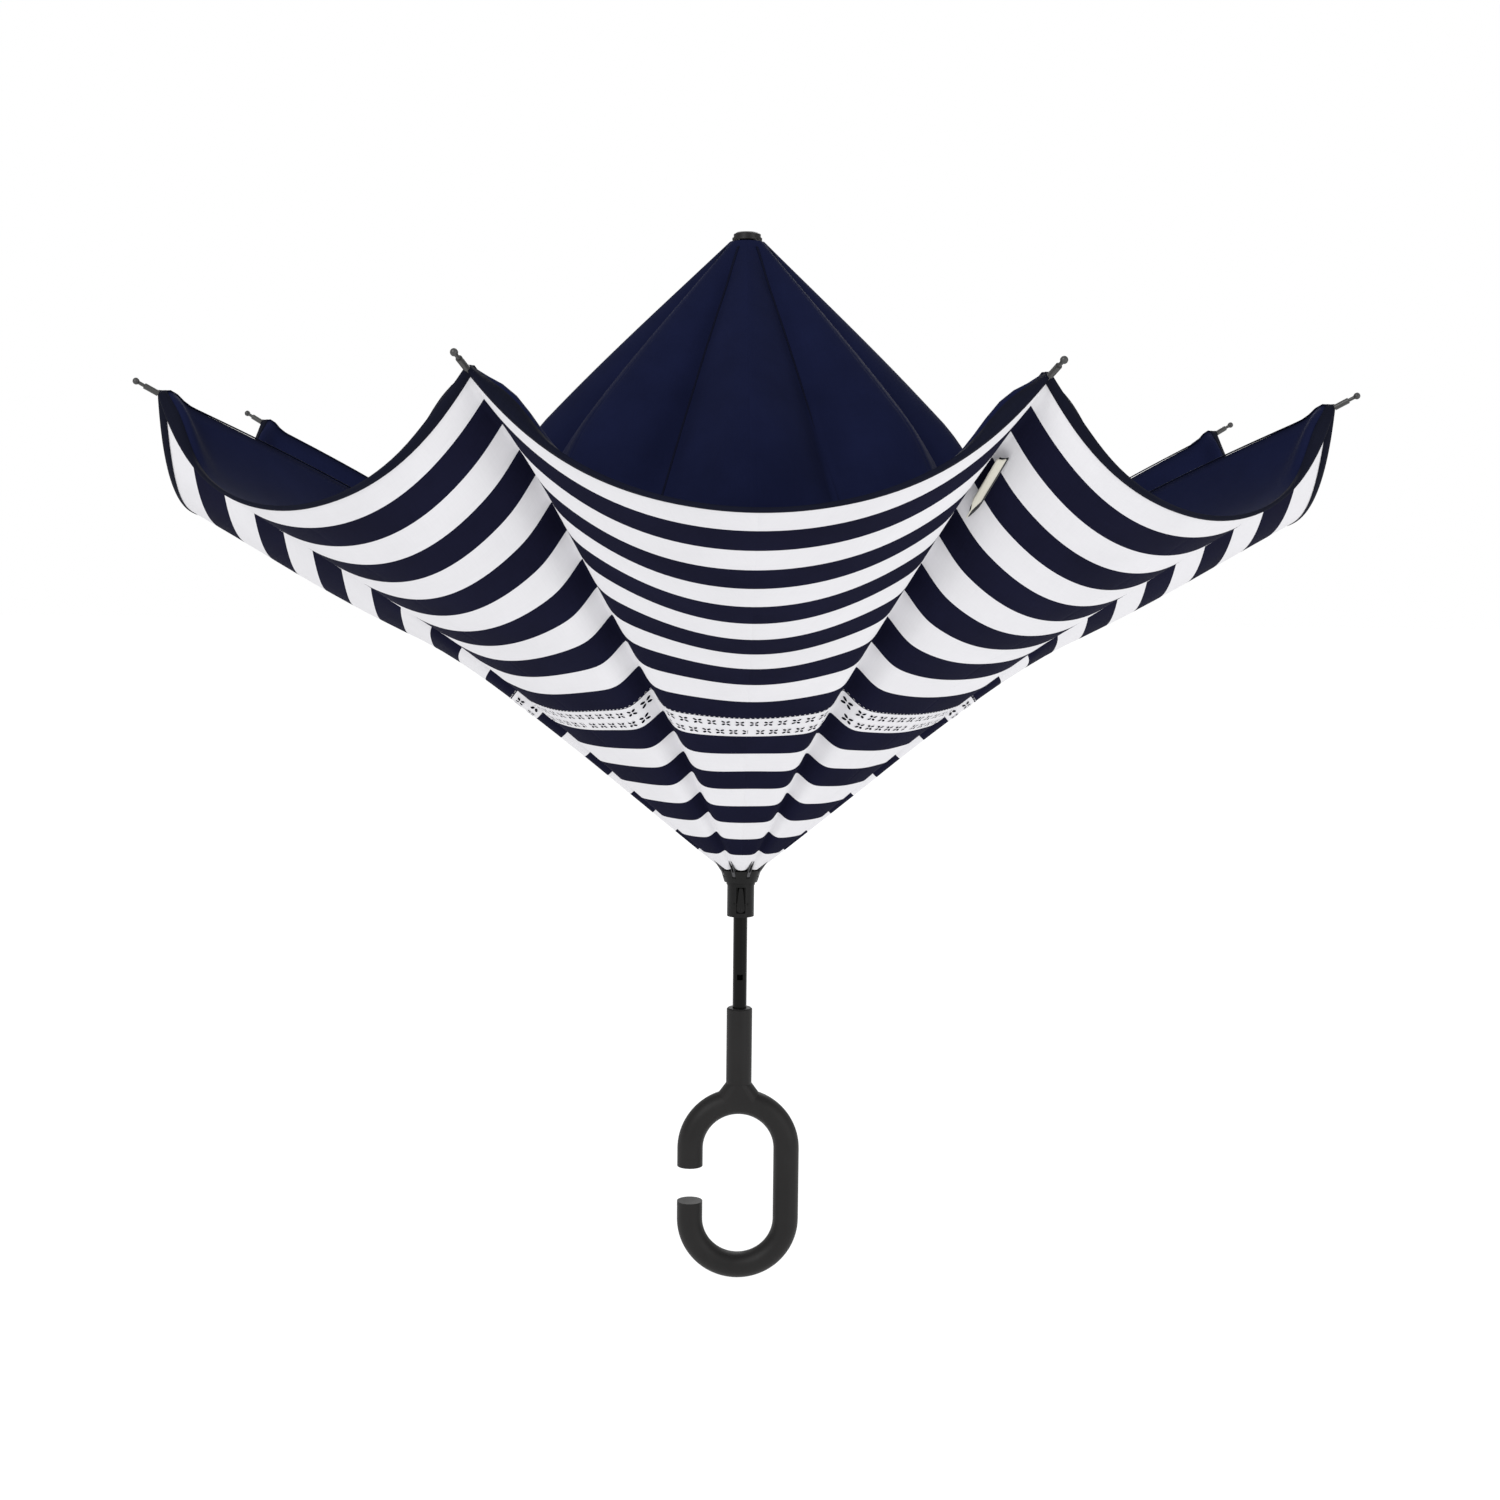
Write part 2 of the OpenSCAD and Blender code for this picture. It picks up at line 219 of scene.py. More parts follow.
def crown_surface(i, q, v, lift=0.0):
    """Navy crown: v runs from 0 under the cap to 1 at the foot, which is under the ring."""
    seam_profile = [(CROWN_R, CROWN_Z), (88 * MM, RUNNER_TOP + 377 * MM),
                    (150 * MM, RUNNER_TOP + 300 * MM), (CROWN_FOOT_R, RUNNER_TOP + CROWN_LOW)]
    mid_profile = [(CROWN_R, CROWN_Z), (110 * MM, RUNNER_TOP + 380 * MM),
                   (182 * MM, RUNNER_TOP + 306 * MM), (206 * MM, RUNNER_TOP + 174 * MM)]
    seam = along_profile(seam_profile, v)
    mid = along_profile(mid_profile, v)
    t = np.abs(q) - 1
    out, across, z = between_ribs(q, seam, mid, 1 - np.abs(t) ** 1.7)
    gore, place_in_gore = gore_place(i, q)
    fold = np.sin(5.5 * place_in_gore + 1.9 * gore) + 0.5 * np.sin(9 * place_in_gore + 2.1 * gore)
    fold = fold * (1 - place_in_gore ** 8) * 3.6 * MM * smooth(0.35, 0.95, v)
    depth = mix(2 * MM, 9 * MM, smooth(0.2, 0.8, v)) * smooth(0.02, 0.15, v)
    crease = depth * hump(across, 0, mix(5 * MM, 17 * MM, smooth(0.2, 0.8, v)))
    push = fold - crease - flap_sink(q) + lift
    return place(i, out + 0.78 * push, across, z + 0.62 * push)


# ---------------------------------------------------------------- meshes

def grid_object(name, points, uv, materials, row_material=None):
    """Smooth mesh of one sheet from rows and columns of points."""
    rows, cols = points.shape[:2]
    index = np.arange(rows * cols).reshape(rows, cols)
    quads = np.stack([index[:-1, :-1], index[:-1, 1:], index[1:, 1:], index[1:, :-1]], -1)
    mesh = bpy.data.meshes.new(name)
    mesh.from_pydata(points.reshape(-1, 3).tolist(), [], quads.reshape(-1, 4).tolist())
    layer = mesh.uv_layers.new(name="UVMap")
    corners = np.zeros(len(mesh.loops), np.int32)
    mesh.loops.foreach_get("vertex_index", corners)
    layer.data.foreach_set("uv", uv.reshape(-1, 2)[corners].astype(np.float32).ravel())
    for material in materials:
        mesh.materials.append(material)
    if row_material is not None:
        chosen = np.repeat(row_material, cols - 1)
        mesh.polygons.foreach_set("material_index", chosen.astype(np.int32))
    mesh.polygons.foreach_set("use_smooth", np.ones(len(mesh.polygons), bool))
    mesh.update()
    thing = bpy.data.objects.new(name, mesh)
    bpy.context.scene.collection.objects.link(thing)
    return thing


def petal_columns(reach=FLAP, near_columns=11):
    """Places across a petal in half gores, closer together beside the seam."""
    near = np.linspace(0, 0.2, near_columns)
    far = np.r_[near, np.linspace(0.2, 1.0, 21)[1:], 1.02, 1.05, 1.12, FLAP]
    both = np.r_[-far[:0:-1], far]
    return both[np.abs(both) <= reach + 1e-9]


def petal(name, i, surface, columns, shares, length, materials, row_material=None, reach=None):
    """One petal of cloth from its surface function, with its texture laid out in metres.

    reach gives how many half gores the petal spans from its rib at its low and its high end.
    """
    q, v = np.meshgrid(columns, shares)
    if reach:
        flap = (np.interp(v, shares[[0, -1]], reach) - 1) / (FLAP - 1)
        q = np.where(np.abs(q) > 1, np.sign(q) * (1 + (np.abs(q) - 1) * flap), q)
    # Flaps stop short of the hem
    tuck = 0.035 * smooth(1.0, 1.12, np.abs(q)) * smooth(0.85, 1.0, v)
    points = surface(i, q, v - tuck)
    _, side = rib_axes(i)
    uv = np.stack([points @ side, v * length], -1)
    return grid_object(name, points, uv, materials, row_material)


# ---------------------------------------------------------------- materials

def socket(shader, name, value):
    """Give one input of a shader a fixed value."""
    shader.inputs[name].default_value = value


def new_material(name, roughness, **values):
    """Node material with one Principled shader, with its node tree and that shader."""
    material = bpy.data.materials.new(name)
    material.use_nodes = True
    tree = material.node_tree
    shader = tree.nodes["Principled BSDF"]
    socket(shader, "Roughness", roughness)
    for key, value in values.items():
        socket(shader, key.replace("_", " "), value)
    return material, tree, shader


def noise(tree, vector, scale, detail=3.0, rough=0.55):
    node = tree.nodes.new("ShaderNodeTexNoise")
    node.inputs["Scale"].default_value = scale
    node.inputs["Detail"].default_value = detail
    node.inputs["Roughness"].default_value = rough
    tree.links.new(vector, node.inputs["Vector"])
    return node.outputs["Fac"]


def mapped(tree, source, scale):
    node = tree.nodes.new("ShaderNodeMapping")
    node.inputs["Scale"].default_value = scale
    tree.links.new(source, node.inputs["Vector"])
    return node.outputs["Vector"]


def maths(tree, operation, a, b):
    node = tree.nodes.new("ShaderNodeMath")
    node.operation = operation
    for port, value in zip(node.inputs, (a, b)):
        if isinstance(value, (int, float)):
            port.default_value = value
        else:
            tree.links.new(value, port)
    return node.outputs[0]


def ramp(tree, value, stops):
    node = tree.nodes.new("ShaderNodeValToRGB")
    while len(node.color_ramp.elements) < len(stops):
        node.color_ramp.elements.new(0.5)
    for element, (at, color) in zip(node.color_ramp.elements, stops):
        element.position = at
        element.color = (*color, 1)
    tree.links.new(value, node.inputs["Fac"])
    return node.outputs["Color"]


def bump(tree, shader, height, strength, distance):
    node = tree.nodes.new("ShaderNodeBump")
    node.inputs["Strength"].default_value = strength
    node.inputs["Distance"].default_value = distance
    tree.links.new(height, node.inputs["Height"])
    tree.links.new(node.outputs["Normal"], shader.inputs["Normal"])


def shade(color, factor):
    return tuple(min(1.0, c * factor) for c in color)


def cloth_material(name, color, roughness, sheen, pitch=0.5 * MM, contrast=0.1, slub=0.5):
    """Plain weave: crossed threads, slubs along both thread directions, faint dye variation.

    pitch is the threads' spacing, and slub is how much the slubs colour the cloth beside the dye.
    """
    material, tree, shader = new_material(name, roughness, Sheen_Weight=sheen,
                                          Specular_IOR_Level=0.03)
    socket(shader, "Sheen Roughness", 0.45)
    uv = tree.nodes.new("ShaderNodeTexCoord").outputs["UV"]
    threads = []
    for direction in ("X", "Y"):
        wave = tree.nodes.new("ShaderNodeTexWave")
        wave.bands_direction = direction
        wave.wave_profile = "SIN"
        wave.inputs["Scale"].default_value = 2 * math.pi / (20 * pitch)
        wave.inputs["Distortion"].default_value = 0.3
        tree.links.new(uv, wave.inputs["Vector"])
        threads.append(wave.outputs["Fac"])
    weave = maths(tree, "MULTIPLY", threads[0], threads[1])
    warp = noise(tree, mapped(tree, uv, (1400, 60, 1)), 1.0)
    weft = noise(tree, mapped(tree, uv, (60, 1400, 1)), 1.0)
    slubs = maths(tree, "MULTIPLY", maths(tree, "ADD", warp, weft), 0.5)
    cloud = noise(tree, uv, 14.0, detail=4.0)
    tone = maths(tree, "ADD", maths(tree, "MULTIPLY", slubs, slub),
                 maths(tree, "MULTIPLY", cloud, 1 - slub))
    color_out = ramp(tree, tone, [(0.3, shade(color, 1 - contrast)),
                                  (0.7, shade(color, 1 + contrast))])
    tree.links.new(color_out, shader.inputs["Base Color"])
    height = maths(tree, "ADD", maths(tree, "MULTIPLY", weave, 0.5), slubs)
    bump(tree, shader, height, 0.5, 0.12 * MM)
    rough = maths(tree, "ADD", maths(tree, "MULTIPLY", slubs, 0.2), roughness - 0.1)
    tree.links.new(rough, shader.inputs["Roughness"])
    return material


def hard_material(name, color, roughness, grain, depth, wear=0.3, metallic=0.0, **values):
    """Moulded plastic or coated metal: fine grain, patchy gloss and slightly worn patches at
    random.
    """
    material, tree, shader = new_material(name, roughness, Metallic=metallic, **values)
    point = tree.nodes.new("ShaderNodeTexCoord").outputs["Object"]
    fine = noise(tree, point, grain, detail=2.0)
    patches = noise(tree, point, 35.0, detail=5.0)
    color_out = ramp(tree, patches, [(0.35, shade(color, 1 - 0.5 * wear)),
                                     (0.7, shade(color, 1 + wear))])
    tree.links.new(color_out, shader.inputs["Base Color"])
    spread = maths(tree, "MULTIPLY", maths(tree, "SUBTRACT", patches, 0.5), 0.35)
    tree.links.new(maths(tree, "ADD", spread, roughness), shader.inputs["Roughness"])
    bump(tree, shader, fine, 0.6, depth)
    return material


NAVY = (0.0068, 0.0072, 0.021)
NAVY_TOP = (0.0062, 0.0085, 0.031)
WHITE = (0.72, 0.715, 0.74)

white_cloth = cloth_material("white_cloth", WHITE, 0.85, 0.05, contrast=0.05)
navy_print = cloth_material("navy_print", NAVY, 0.85, 0.0, contrast=0.3)
navy_cloth = cloth_material("navy_cloth", NAVY_TOP, 0.8, 0.004, contrast=0.25, slub=0.3)
binding_tape = cloth_material("binding_tape", (0.006, 0.007, 0.015), 0.75, 0.01,
                              pitch=0.8 * MM, contrast=0.3)
# Near-black for the faces that close the eyelets: painted shade of the dark seen through the holes
eyelet_hole_shade = cloth_material("eyelet_hole_shade", (0.004, 0.004, 0.008), 0.95, 0.0)
eyelet_thread = cloth_material("eyelet_thread", shade(WHITE, 1.08), 0.7, 0.1, pitch=0.35 * MM)
# Darker than the navy cloth: partly the stitching's own colour, partly painted shade of the crease
# along each seam
seam_stitch_and_shade = cloth_material("seam_stitch_and_shade", (0.005, 0.006, 0.016), 0.8, 0.0, pitch=0.4 * MM)
strap_white = cloth_material("strap_white", (0.62, 0.6, 0.52), 0.8, 0.1, pitch=0.7 * MM)
strap_dark = cloth_material("strap_dark", (0.012, 0.012, 0.016), 0.9, 0.2,
                            pitch=0.9 * MM, contrast=0.35)

handle_rubber = hard_material("handle_rubber", (0.0088, 0.0083, 0.0083), 0.52, 2600, 0.03 * MM,
                              wear=0.25, Specular_IOR_Level=0.22)
shaft_gloss = hard_material("shaft_gloss", (0.003, 0.003, 0.0026), 0.25, 900, 0.004 * MM,
                            wear=0.15, Specular_IOR_Level=0.12)
black_plastic = hard_material("black_plastic", (0.006, 0.006, 0.006), 0.42, 1800, 0.02 * MM,
                              wear=0.25, Specular_IOR_Level=0.16)
cap_plastic = hard_material("cap_plastic", (0.008, 0.0075, 0.008), 0.45, 1500, 0.02 * MM,
                            wear=0.35, Specular_IOR_Level=0.25)
bright_steel = hard_material("bright_steel", (0.62, 0.62, 0.64), 0.28, 2400, 0.008 * MM,
                             wear=0.12, metallic=1.0)
grey_steel = hard_material("grey_steel", (0.06, 0.06, 0.064), 0.4, 1600, 0.015 * MM,
                           wear=0.3, metallic=0.6)
glass_fibre = hard_material("glass_fibre", (0.035, 0.035, 0.035), 0.42, 1200, 0.02 * MM, wear=0.3)


def dress_frame():
    """Every CAD node that stays visible takes its finish here."""
    by_start = {"shaft": shaft_gloss, "handle": handle_rubber, "top_notch": black_plastic,
                "top_cap": cap_plastic, "runner_": black_plastic, "button_spring": bright_steel,
                "rib_pins": bright_steel, "strut_pins": bright_steel, "inner_rib": grey_steel,
                "strut_": grey_steel, "outer_rib": glass_fibre}
    for name, node in frame["nodes"].items():
        starts = [s for s in by_start if name.startswith(s)]
        if starts:
            node.data.materials.clear()
            node.data.materials.append(by_start[max(starts, key=len)])


# ---------------------------------------------------------------- cloth pieces

LOW_STRIPES = 9  # stripes on a lower petal, up to the rib's joint; an upper petal has the rest
SPLIT = LOW_STRIPES / STRIPES
TUCKED_STRIPES = 1.5  # stripes that an upper petal continues inside a lower one

# Openwork: ovals in fours around a middle, and a row of small ones above
EYELET_PITCH = 9.5 * MM
SEED_LENGTH = 3.5 * MM
SEED_OUT = 2.5 * MM
OVAL_SHAPE = 0.62  # width of an oval over its length
OVAL_POINTS = 10
PICOT_STEP = 3.4 * MM


def fold_with_rib(piece):
    """Gives the piece its own copy of its mesh."""
    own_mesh(piece)


def fold_with_crown(piece):
    """Gives the piece its own copy of its mesh."""
    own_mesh(piece)


def stripes(rows):
    """0 for a white stripe and 1 for a navy one, between each row of points and the next."""
    middle = 0.5 * (rows[:-1] + rows[1:])
    return np.floor(middle * STRIPES).astype(int) % 2


def tucked_surface(i, q, v):
    """Outer cloth whose low end runs inside the lower petal."""
    return outer_surface(i, q, v, -2.2 * MM * (1 - smooth(SPLIT - 0.012, SPLIT, v)))


def outer_petals(i):
    """Striped cloth below and above the rib's joint; returns the lower petal."""
    start = SPLIT - TUCKED_STRIPES / STRIPES
    high_count = round((STRIPES - LOW_STRIPES + TUCKED_STRIPES) * ROWS_PER_STRIPE)
    low_rows = np.linspace(0, SPLIT, LOW_STRIPES * ROWS_PER_STRIPE + 1)
    high_rows = np.linspace(start, 1, high_count + 1)
    cloth = [white_cloth, navy_print]
    low = petal(f"outer_cloth_low_{i}", i, outer_surface, petal_columns(), low_rows, SEAM_LENGTH,
                cloth, stripes(low_rows), reach=(1.1, 1.45))
    high = petal(f"outer_cloth_high_{i}", i, tucked_surface, petal_columns(), high_rows,
                 SEAM_LENGTH, cloth, stripes(high_rows), reach=(1.5, 1.28))
    spans = ((low, f"inner_rib_{i}", 0, SPLIT), (high, f"outer_rib_{i}", start, 1))
    for piece, body, a, b in spans:
        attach(piece, body)
        fold_with_rib(piece)
    return low


def ring_petal(i):
    """Navy cloth over the outer rib."""
    rows = np.r_[np.linspace(0, 0.88, 31), np.linspace(0.88, 1, 17)[1:]]
    piece = petal(f"inner_cloth_{i}", i, inner_ring_surface, petal_columns(near_columns=5),
                  rows, RING_LENGTH, [navy_cloth], reach=(1.66, 1.28))
    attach(piece, f"outer_rib_{i}")
    fold_with_rib(piece)
    return piece


def crown_strips(i):
    """Navy cloth from the cap down, in strips beside the rib that ride on its inner panel."""
    rows = np.linspace(0, 1, 61)
    length = math.hypot(CROWN_FOOT_R - CROWN_R, CROWN_Z - RUNNER_TOP - CROWN_LOW)
    edges = [(-FLAP, -0.5), (-0.5, 0.0), (0.0, 0.5), (0.5, FLAP)]
    for k, (a, b) in enumerate(edges, 1):
        columns = np.linspace(a, b, 15)
        piece = petal(f"crown_{i}_{k}", i, crown_surface, columns, rows, length, [navy_cloth])
        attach(piece, f"inner_panel_{i}")
        fold_with_crown(piece)


def hem_binding(i):
    """Folded tape over both cloths' edges."""
    columns = petal_columns(reach=1.02)
    tape = mix(6.5 * MM, 2.2 * MM, smooth(0.1, 0.8, np.abs(columns)))
    # Rows of points as shares of the tape's width from the hem, with their lift in millimetres
    rows = [outer_surface(i, columns, 1 - tape / SEAM_LENGTH * share, lift * MM)
            for share, lift in ((1.0, 0.3), (0.97, 0.6), (0.5, 0.7), (0.04, 0.7))]
    rows.append(outer_surface(i, columns, np.ones_like(columns), 0.4 * MM) + [0, 0, 0.7 * MM])
    rows += [inner_ring_surface(i, columns, 1 - tape / RING_LENGTH * share, lift * MM)
             for share, lift in ((0.04, 1.0), (0.5, 1.0), (0.97, 0.9), (1.0, 0.4))]
    points = np.array(rows)
    _, side = rib_axes(i)
    steps = np.linspace(0, 2, len(rows))[:, None] * tape
    uv = np.stack([points @ side, steps], -1)
    piece = grid_object(f"hem_binding_{i}", points, uv, [binding_tape])
    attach(piece, f"outer_rib_{i}")
    fold_with_rib(piece)


def oval_on(i, q0, v0, radius, turn):
    """Corner points of a small oval on the outer cloth of rib i; radius is half its length.

    It is turned out of the hem's direction, and comes with a raised rim: three rings of points.
    """
    angle = np.linspace(0, 2 * math.pi, OVAL_POINTS, endpoint=False)
    x, y = np.cos(angle), OVAL_SHAPE * np.sin(angle)
    half_gore = mix(COLLAR_R, HEM_R, v0) * math.sin(HALF)
    rings = []
    for size, lift in ((1.3, 0.1), (1.15, 0.45), (1.0, 0.3)):
        q = q0 + radius * size / half_gore * (x * math.cos(turn) - y * math.sin(turn))
        v = v0 + radius * size / SEAM_LENGTH * (x * math.sin(turn) + y * math.cos(turn))
        rings += outer_surface(i, q, v, lift * MM).tolist()
    return rings


def eyelet_places():
    """Middle, half length and turn of each oval in a petal's band of openwork."""
    band_low, band_high = (LOW_STRIPES - 1) / STRIPES, LOW_STRIPES / STRIPES
    half_gore = mix(COLLAR_R, HEM_R, 0.5 * (band_low + band_high)) * math.sin(HALF)
    count = round(half_gore / EYELET_PITCH)
    for side in (-1, 1):
        for k in range(1, count + 1):
            for row, shift in ((0.74, 0.5), (0.26, 0.0)):
                middle = side * (k - shift) / count
                if middle < -0.999:  # the next petal has this one
                    continue
                for quarter in range(4):
                    turn = (0.25 + 0.5 * quarter) * math.pi
                    yield (middle + SEED_OUT * math.cos(turn) / half_gore,
                           mix(band_low, band_high, row) + SEED_OUT * math.sin(turn) / SEAM_LENGTH,
                           SEED_LENGTH / 2, turn)
    # Picot edge above the band
    picots = int(half_gore / PICOT_STEP)
    for k in range(-picots, picots + 1):
        yield (k * PICOT_STEP / half_gore, band_high + 1.2 * MM / SEAM_LENGTH, 0.55 * MM, 0.0)


def eyelets(i):
    """Embroidered openwork along the top stripe of a lower petal: seed-shaped holes in fours. Each
    hole is closed by a near-black face, painted shade where it would show the dark behind it.
    """
    verts, faces, kinds = [], [], []
    for oval in eyelet_places():
        base = len(verts)
        verts += oval_on(i, *oval)
        for k in range(OVAL_POINTS):
            for level in (0, OVAL_POINTS):
                a, b = base + level + k, base + level + (k + 1) % OVAL_POINTS
                faces.append((a, b, b + OVAL_POINTS, a + OVAL_POINTS))
                kinds.append(0)
        # The innermost ring is closed by a near-black face: painted shade in place of an open hole
        faces.append(tuple(base + 2 * OVAL_POINTS + k for k in range(OVAL_POINTS)))
        kinds.append(1)
    mesh = bpy.data.meshes.new(f"eyelets_{i}")
    mesh.from_pydata(verts, [], faces)
    layer = mesh.uv_layers.new(name="UVMap")
    _, side = rib_axes(i)
    points = np.array(verts)
    corners = np.zeros(len(mesh.loops), np.int32)
    mesh.loops.foreach_get("vertex_index", corners)
    uv = np.stack([points @ side, points[:, 2]], -1)[corners]
    layer.data.foreach_set("uv", uv.astype(np.float32).ravel())
    mesh.materials.append(eyelet_thread)
    mesh.materials.append(eyelet_hole_shade)
    mesh.polygons.foreach_set("material_index", np.array(kinds, np.int32))
    mesh.update()
    piece = bpy.data.objects.new(f"eyelets_{i}", mesh)
    bpy.context.scene.collection.objects.link(piece)
    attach(piece, f"inner_rib_{i}")
    fold_with_rib(piece)


def on_seam(i, surface, v, lift=0.0):
    """Points on rib i's seam, a hair to one side so that they belong to a gore."""
    return surface(i, np.full_like(v, 1e-6), v, lift)


def seam_ridge(name, i, surface, v, lift, body):
    """Thin ridge of folded cloth and stitching that follows a seam. Its colour, darker than the
    navy cloth, is partly the stitching's own and partly painted shade of the crease along the seam.
    """
    radius = 0.9 * MM
    middle = on_seam(i, surface, v, lift)
    _, side = rib_axes(i)
    tangent = np.gradient(middle, axis=0)
    tangent /= np.linalg.norm(tangent, axis=1)[:, None]
    up = np.cross(tangent, side)
    angles = np.linspace(0, 2 * math.pi, 9)
    ring = [middle + radius * (math.cos(a) * side + 0.6 * math.sin(a) * up) for a in angles]
    points = np.stack(ring, 1)
    uv = np.stack([np.tile(angles * radius, (len(v), 1)),
                   np.tile((v * SEAM_LENGTH)[:, None], (1, len(angles)))], -1)
    piece = grid_object(name, points, uv, [seam_stitch_and_shade])
    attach(piece, body)
    if surface is crown_surface:
        fold_with_crown(piece)
    else:
        fold_with_rib(piece)


STRAP_SPAN = (0.875, 0.765)  # along the seam, from the hem's end down
STRAP_HALF = 2.9 * MM  # half the strap's width


def strap():
    """Closing strap with its hook-and-loop pad, hanging out of the first rib's pleat."""
    radial, side = rib_axes(1)
    v = np.linspace(*STRAP_SPAN, 31)
    share = np.linspace(0, 1, len(v))
    normal = np.array([*(radial[:2] * math.sin(SEAM_SLOPE)), -math.cos(SEAM_SLOPE)])
    bow = (10.5 + 2.5 * np.sin(math.pi * share)) * MM
    sway = share * 5 * MM
    middle = on_seam(1, outer_surface, v) + bow[:, None] * normal + sway[:, None] * side
    length = (v[0] - v[-1]) * SEAM_LENGTH
    offsets = np.linspace(-1, 1, 7)
    made = []
    for name, shift, lift, point, material, slot_name in (
            ("closing_strap_cloth", -1.1 * MM, 1.2 * MM, 0.86, strap_white, "white_cloth"),
            ("strap_pad_cloth", 1.1 * MM, 0.0, 1.0, strap_dark, "pad_cloth")):
        tapered = np.clip((point - share) / 0.16, 0.04, 1)
        span = STRAP_HALF * tapered[:, None] * offsets
        arch = 0.7 * MM * (1 - offsets ** 2) * tapered[:, None]
        points = (middle[:, None] + (span + shift)[..., None] * side
                  + (lift + arch)[..., None] * normal)
        uv = np.stack([np.tile(offsets * STRAP_HALF, (len(v), 1)),
                       np.tile((share * length)[:, None], (1, len(offsets)))], -1)
        piece = grid_object(name, points, uv, [material])
        solid = piece.modifiers.new("thickness", "SOLIDIFY")
        solid.thickness = 0.8 * MM
        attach(piece, "outer_rib_1")
        made.append(piece)
    return made


def rounded_square(wave):
    """Cosine or sine of a circle made into that of a square with round corners."""
    return np.sign(wave) * np.abs(wave) ** 0.6


def strut_tie(i):
    """Gathered cloth loop that ties the inner cloth to a strut."""
    low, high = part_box(f"strut_tie_{i}")
    _, side = rib_axes(i)
    middle = np.array((low + high) / 2)
    hinge = np.array(JOINT_AT[f"strut_close_{i}"])
    along = middle - hinge
    along /= np.linalg.norm(along)
    normal = np.cross(along, side)
    loop_length = 9 * MM
    steps = np.linspace(-loop_length / 2, loop_length / 2, 13)
    angles = np.linspace(0, 2 * math.pi, 33)
    step, angle = np.meshgrid(steps, angles, indexing="ij")
    pucker = 1 + 0.07 * np.cos(9 * angle) * np.cos(step / loop_length * math.pi)
    wide = 3.9 * MM * pucker * rounded_square(np.cos(angle))
    tall = 3.1 * MM * pucker * rounded_square(np.sin(angle))
    points = middle + step[..., None] * along + wide[..., None] * side + tall[..., None] * normal
    piece = grid_object(f"strut_tie_cloth_{i}", points, np.stack([angle * 4 * MM, step], -1),
                        [navy_cloth])
    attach(piece, f"strut_{i}")
    return piece


# ---------------------------------------------------------------- camera, light and floor

def make_camera():
    """Level with the upper part of the umbrella, a little left of it and looking slightly down."""
    data = bpy.data.cameras.new("camera")
    camera = bpy.data.objects.new("camera", data)
    bpy.context.scene.collection.objects.link(camera)
    data.sensor_width = 36
    data.lens = 49.85
    spin = Matrix.Rotation(math.radians(-1.31), 4, "Z")
    tilt = Matrix.Rotation(math.radians(90 - 5.6), 4, "X")
    roll = Matrix.Rotation(math.radians(0.6), 4, "Z")
    camera.matrix_world = Matrix.Translation((-0.030, -1.575, 0.385)) @ spin @ tilt @ roll
    bpy.context.scene.camera = camera


def make_world():
    """White behind everything, dimmer as a light."""
    world = bpy.data.worlds.new("studio")
    bpy.context.scene.world = world
    world.use_nodes = True
    tree = world.node_tree
    lights = tree.nodes["Background"]
    seen = tree.nodes.new("ShaderNodeBackground")
    for background, strength in ((lights, 0.62), (seen, 1.0)):
        background.inputs["Color"].default_value = (1, 1, 1, 1)
        background.inputs["Strength"].default_value = strength
    path = tree.nodes.new("ShaderNodeLightPath")
    chosen = tree.nodes.new("ShaderNodeMixShader")
    tree.links.new(path.outputs["Is Camera Ray"], chosen.inputs[0])
    tree.links.new(lights.outputs[0], chosen.inputs[1])
    tree.links.new(seen.outputs[0], chosen.inputs[2])
    tree.links.new(chosen.outputs[0], tree.nodes["World Output"].inputs["Surface"])


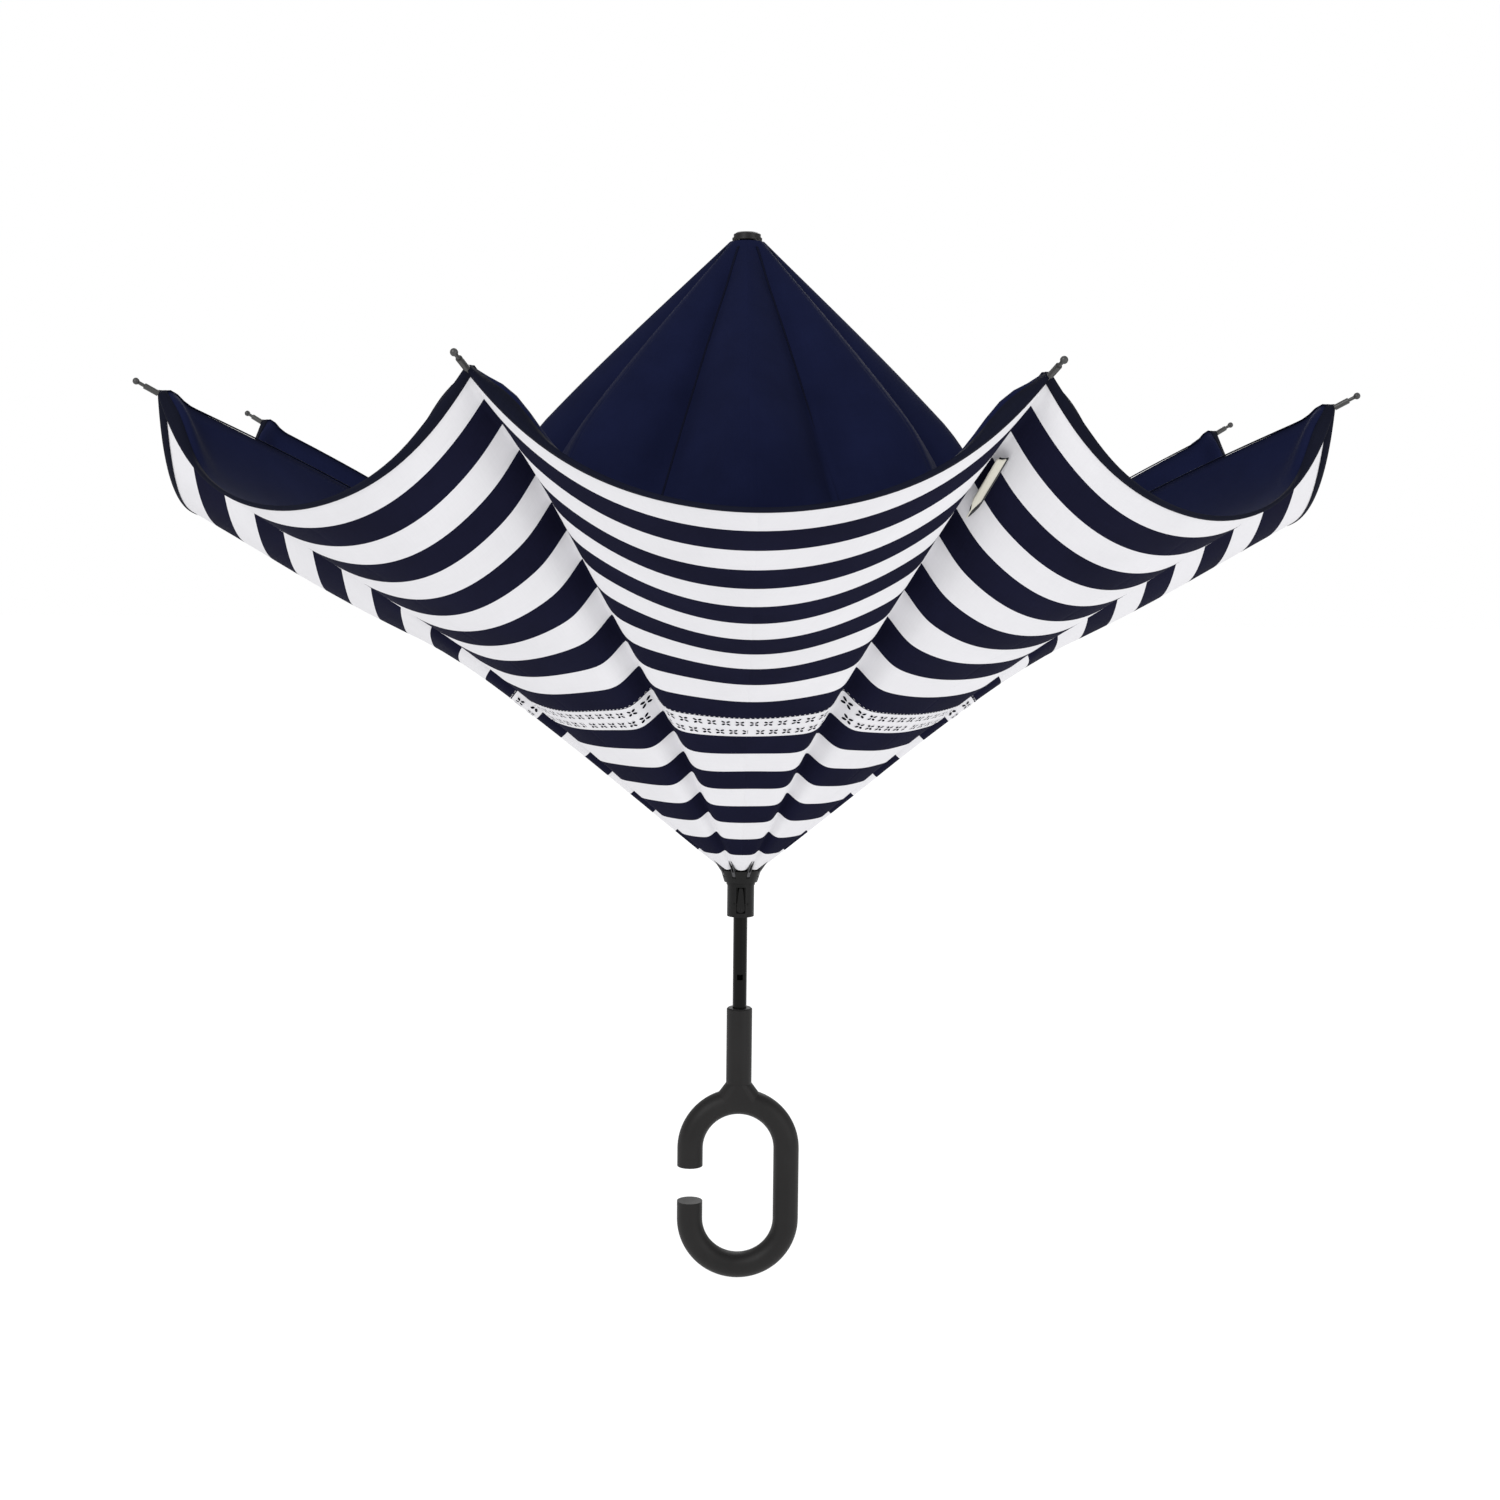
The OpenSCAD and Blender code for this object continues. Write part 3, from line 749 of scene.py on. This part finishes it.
def area_light(name, place_at, target, size, power):
    data = bpy.data.lights.new(name, "AREA")
    data.shape = "DISK"
    data.size = size
    data.energy = power
    lamp = bpy.data.objects.new(name, data)
    bpy.context.scene.collection.objects.link(lamp)
    lamp.location = place_at
    lamp.rotation_mode = "QUATERNION"
    lamp.rotation_quaternion = (Vector(target) - Vector(place_at)).to_track_quat("-Z", "Y")


def make_floor():
    """White floor that glows, so that only a faint shadow under the handle shows."""
    low = LOOP_LOW - 4 * MM
    mesh = bpy.data.meshes.new("floor")
    corners = [(14 * x, 14 * y, low) for x, y in ((-1, -1), (1, -1), (1, 1), (-1, 1))]
    mesh.from_pydata(corners, [], [(0, 1, 2, 3)])
    floor = bpy.data.objects.new("floor", mesh)
    bpy.context.scene.collection.objects.link(floor)
    material, _, shader = new_material("floor", 0.9, Base_Color=(0.2, 0.2, 0.2, 1),
                                       Specular_IOR_Level=0.0)
    socket(shader, "Emission Color", (1, 1, 1, 1))
    socket(shader, "Emission Strength", 0.92)
    mesh.materials.append(material)


def make_studio():
    bpy.context.scene.view_settings.view_transform = "Standard"
    make_world()
    area_light("key", (-1.6, -2.6, 2.0), (0, 0, 0.35), 1.8, 60)
    area_light("fill", (2.4, -2.2, 0.8), (0, 0, 0.3), 2.0, 26)
    area_light("rim", (0.4, 2.6, 1.8), (0, 0, 0.4), 1.8, 30)
    make_floor()


# ---------------------------------------------------------------- assembly

make_camera()
make_studio()
dress_frame()

outer, inner = [], []
for rib in range(1, RIBS + 1):
    outer.append(outer_petals(rib))
    inner.append(ring_petal(rib))
    crown_strips(rib)
    hem_binding(rib)
    eyelets(rib)
    seam_ridge(f"crown_seam_{rib}", rib, crown_surface, np.linspace(0.02, 0.97, 60), 0.4 * MM,
               f"inner_panel_{rib}")
    seam_ridge(f"ring_seam_{rib}", rib, inner_ring_surface, np.linspace(0.15, 0.985, 50), 0.3 * MM,
               f"outer_rib_{rib}")
for rib in range(1, RIBS + 1):
    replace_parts(outer[rib - 1], f"outer_panel_{rib}")
    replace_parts(inner[rib - 1], f"inner_panel_{rib}")
    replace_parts(strut_tie(rib), f"strut_tie_{rib}")
strap_piece, pad_piece = strap()
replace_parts(strap_piece, "closing_strap")
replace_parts(pad_piece, "strap_pad")
